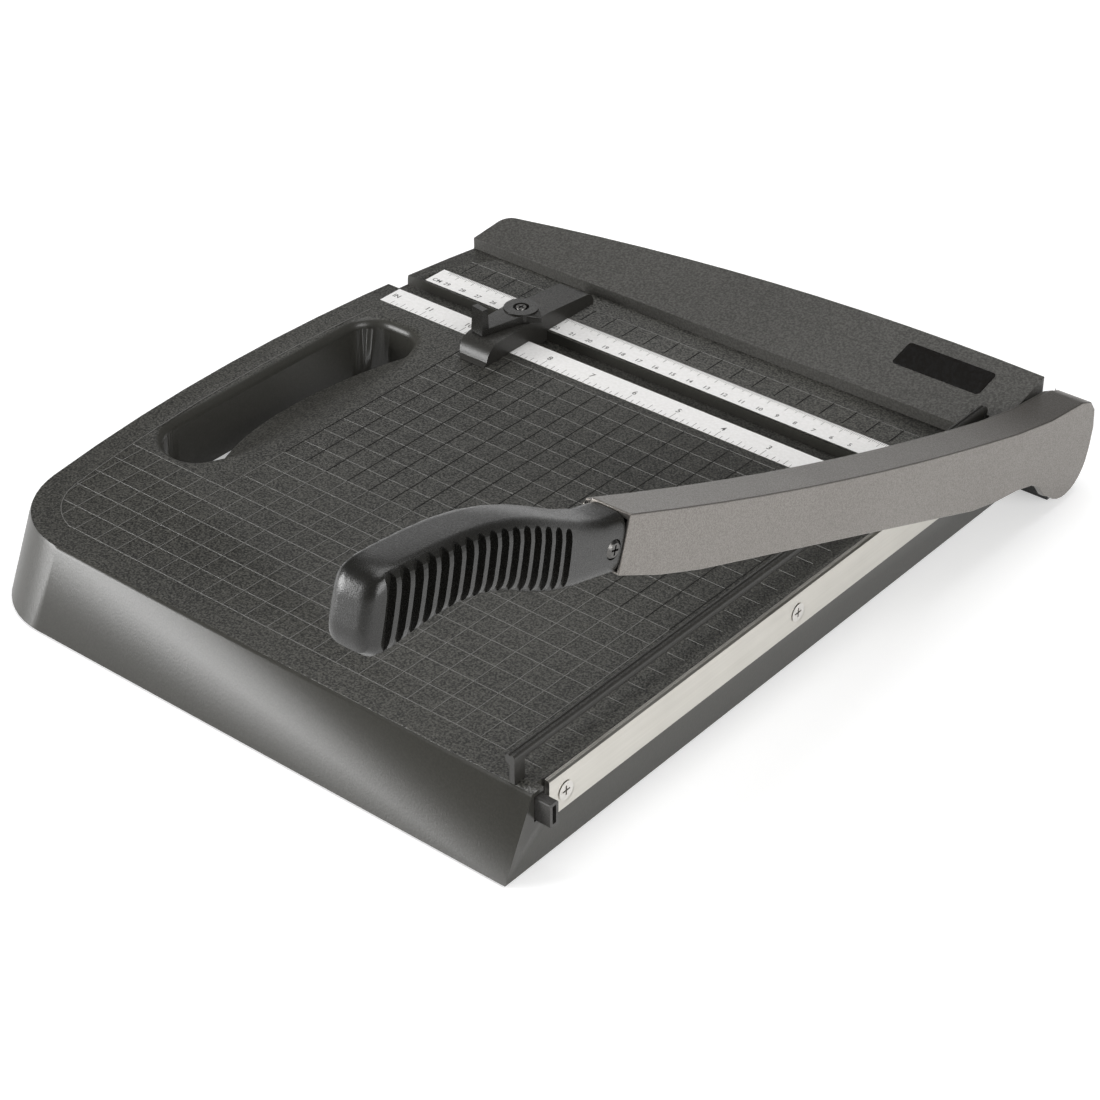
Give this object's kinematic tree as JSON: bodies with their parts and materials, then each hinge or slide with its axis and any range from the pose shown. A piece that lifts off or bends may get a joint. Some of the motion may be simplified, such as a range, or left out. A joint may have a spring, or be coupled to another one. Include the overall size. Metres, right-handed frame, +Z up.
{
  "type": "guillotine paper cutter",
  "caption": "Guillotine paper cutter: gridded board with carry hole, rulers, back fence, sliding paper guide, finger guard and a hinged blade arm with a grooved grip.",
  "frame": {"origin": "centre of the middle rubber foot's underside, on the table below the middle of the base", "axes": "+Z up; +Y from the operator's side to the back fence, along the blade; +X towards the blade arm's side"},
  "size_m": [0.343, 0.4776, 0.193],
  "materials": {
    "base_plastic": "fine grained, raised grid lines on the board",
    "fence_plastic": "coarse grained",
    "foot_rubber": "matt",
    "label_black": "smooth, blank",
    "ruler_print": "satin white with grey printed divisions",
    "blade_steel": "ground",
    "screw_steel": "bright",
    "dark_steel": "black oxide",
    "zinc_steel": "zinc plated",
    "guard_plastic": "satin",
    "latch_plastic": "satin",
    "bracket_paint": "black paint",
    "arm_coat": "textured black coat",
    "bush_brass": "turned",
    "grip_plastic": "satin",
    "lever_plastic": "satin"
  },
  "bodies": {
    "base": {"base_shell": "base_plastic", "rubber_feet": "foot_rubber", "back_fence": "fence_plastic", "fence_screws": "zinc_steel", "label_plate": "label_black", "inch_ruler": "ruler_print", "cm_ruler": "ruler_print", "ledger_blade": "blade_steel", "ledger_screws": "screw_steel", "guard_rail": "guard_plastic", "guard_screw": "zinc_steel", "latch_retainer": "guard_plastic", "retainer_screw": "zinc_steel", "pivot_bracket": "bracket_paint", "bracket_screws": "zinc_steel", "pivot_bolt": "zinc_steel", "bolt_washer": "zinc_steel", "cup_washers": "zinc_steel", "pivot_nut": "zinc_steel"},
    "arm": {"arm_casting": "arm_coat", "cutting_blade": "blade_steel", "blade_screws": "screw_steel", "pivot_bush": "bush_brass", "grip": "grip_plastic", "grip_screws": "dark_steel"},
    "guide": {"guide_fence": "guard_plastic", "clamp_nut": "zinc_steel", "clamp_screw": "dark_steel", "clamp_washer": "zinc_steel"},
    "lever": {"clamp_lever": "lever_plastic"},
    "latch": {"arm_latch": "latch_plastic"}
  },
  "joints": [
    {"name": "arm_hinge", "type": "hinge", "parent": "base", "child": "arm", "pos_m": [0.158, 0.174, 0.023], "axis": [-1, 0, 0], "range_deg": [-16.2, 42]},
    {"name": "guide_slide", "type": "slide", "parent": "base", "child": "guide", "axis": [1, 0, 0], "range_m": [-0.065, 0.189]},
    {"name": "lever_turn", "type": "hinge", "parent": "guide", "child": "lever", "pos_m": [-0.072, 0.0872, 0.046], "axis": [0, 0, 1], "range_deg": [-80, 0]},
    {"name": "latch_slide", "type": "slide", "parent": "base", "child": "latch", "axis": [1, 0, 0], "range_m": [-0.007, 0]}
  ]
}
